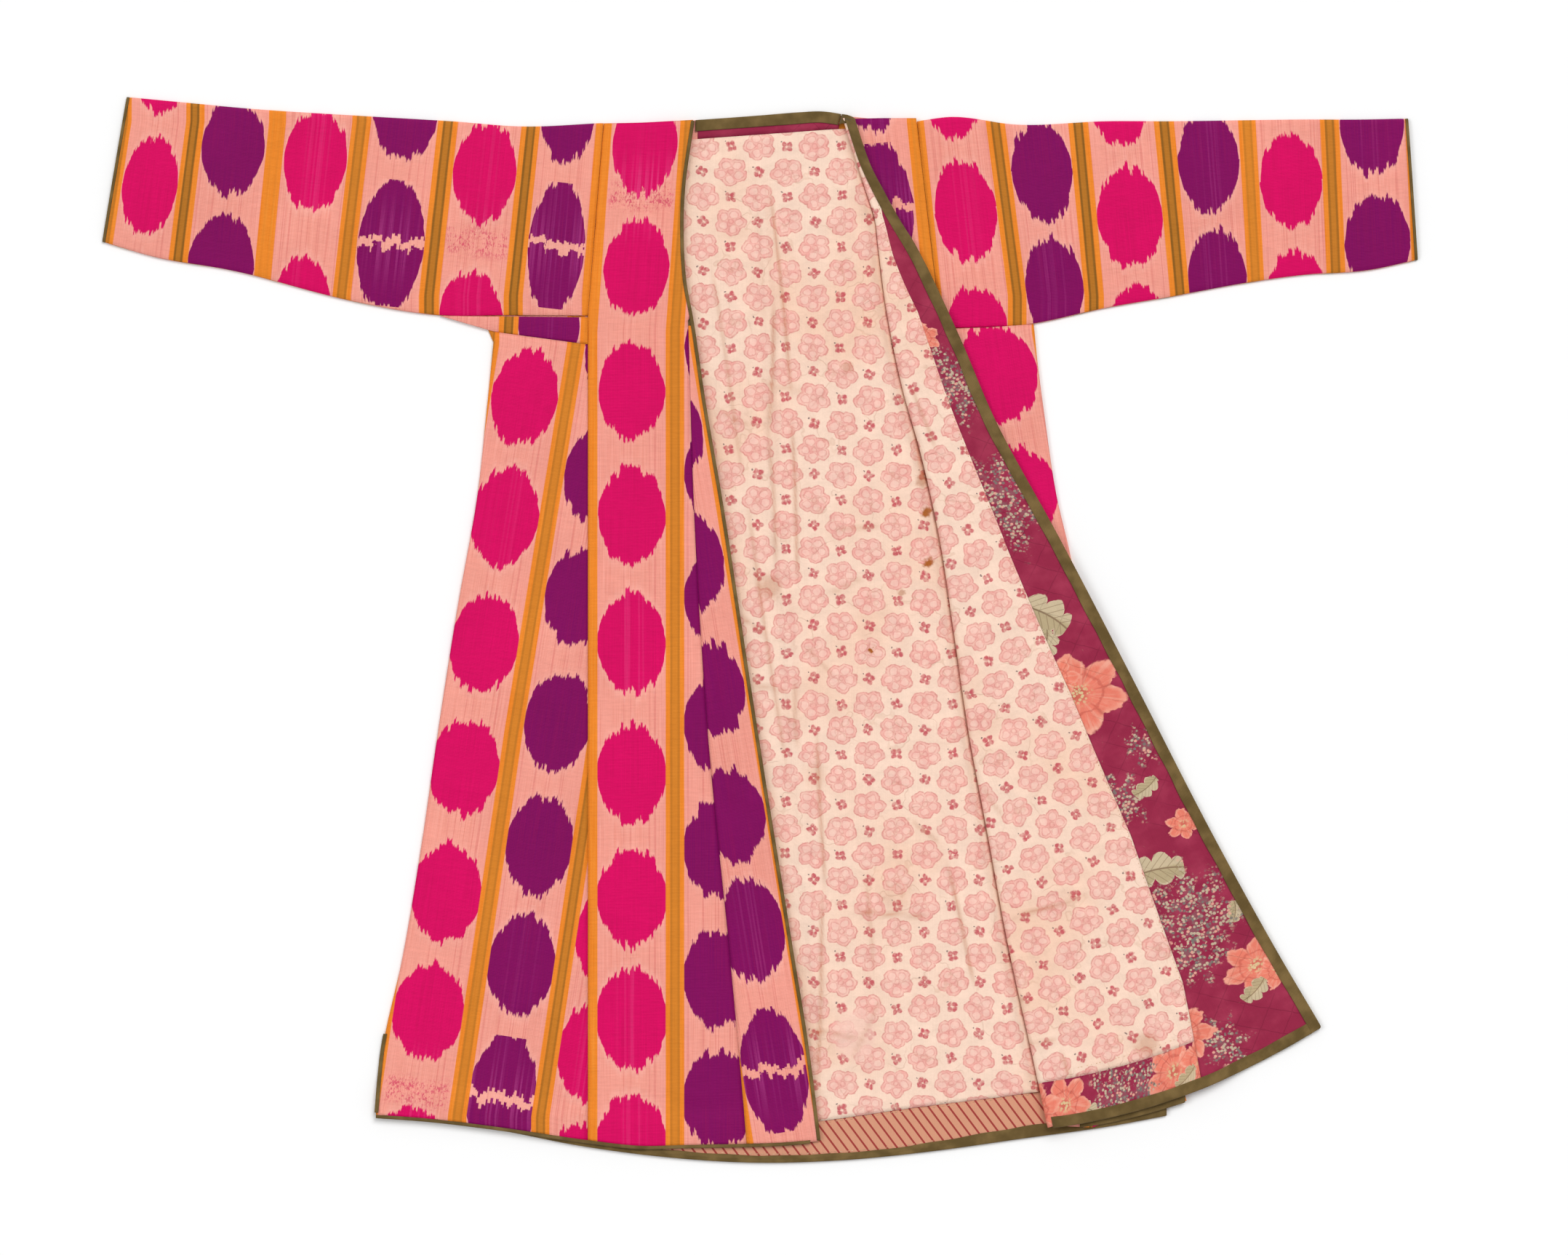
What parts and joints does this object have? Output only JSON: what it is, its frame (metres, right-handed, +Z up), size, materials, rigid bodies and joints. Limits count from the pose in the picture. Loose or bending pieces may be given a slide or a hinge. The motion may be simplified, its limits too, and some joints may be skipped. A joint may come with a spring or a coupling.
{
  "type": "munisak robe laid out flat",
  "caption": "Long flared open robe with straight sleeves, laid on its back, one front closed and the other turned back to show its printed lining.",
  "frame": {"origin": "middle of the outline of the robe as it lies, on the surface that it lies on", "axes": "+Z up from the surface, +Y towards the neck, +X towards the front that is turned back"},
  "size_m": [1.5108, 1.222, 0.0182],
  "materials": {
    "ikat": "warp-ikat silk and cotton cloth, pink ground with magenta and purple ovals and orange stripes, faint sheen",
    "lining": "printed cotton, pink rosettes and small red quatrefoils on cream, matt",
    "facing": "printed cotton, crimson ground with scattered flowers and leaves, matt",
    "bias_facing": "printed cotton cut on the bias, tan pink with thin dark red stripes, matt",
    "tape": "narrow woven edge tape, olive brown, matt"
  },
  "bodies": {
    "root": {"back_panel": "ikat", "back_gore_left": "ikat", "back_gore_right": "ikat", "back_lining": "lining", "back_hem_facing": "bias_facing", "back_hem_binding": "tape", "neck_facing": "facing", "neck_binding": "tape", "left_front_main": "ikat", "left_front_gore": "ikat", "left_side_gore": "ikat", "left_gusset": "ikat", "left_front_binding": "tape", "left_hem_binding": "tape", "left_sleeve": "ikat", "left_cuff_binding": "tape", "right_sleeve": "ikat", "right_cuff_binding": "tape", "right_front": "ikat", "right_lining": "lining", "right_front_facing": "facing", "right_hem_facing": "facing", "right_front_binding": "tape", "right_hem_binding": "tape", "right_side_gore": "ikat", "right_under_hem_binding": "tape"}
  },
  "joints": []
}
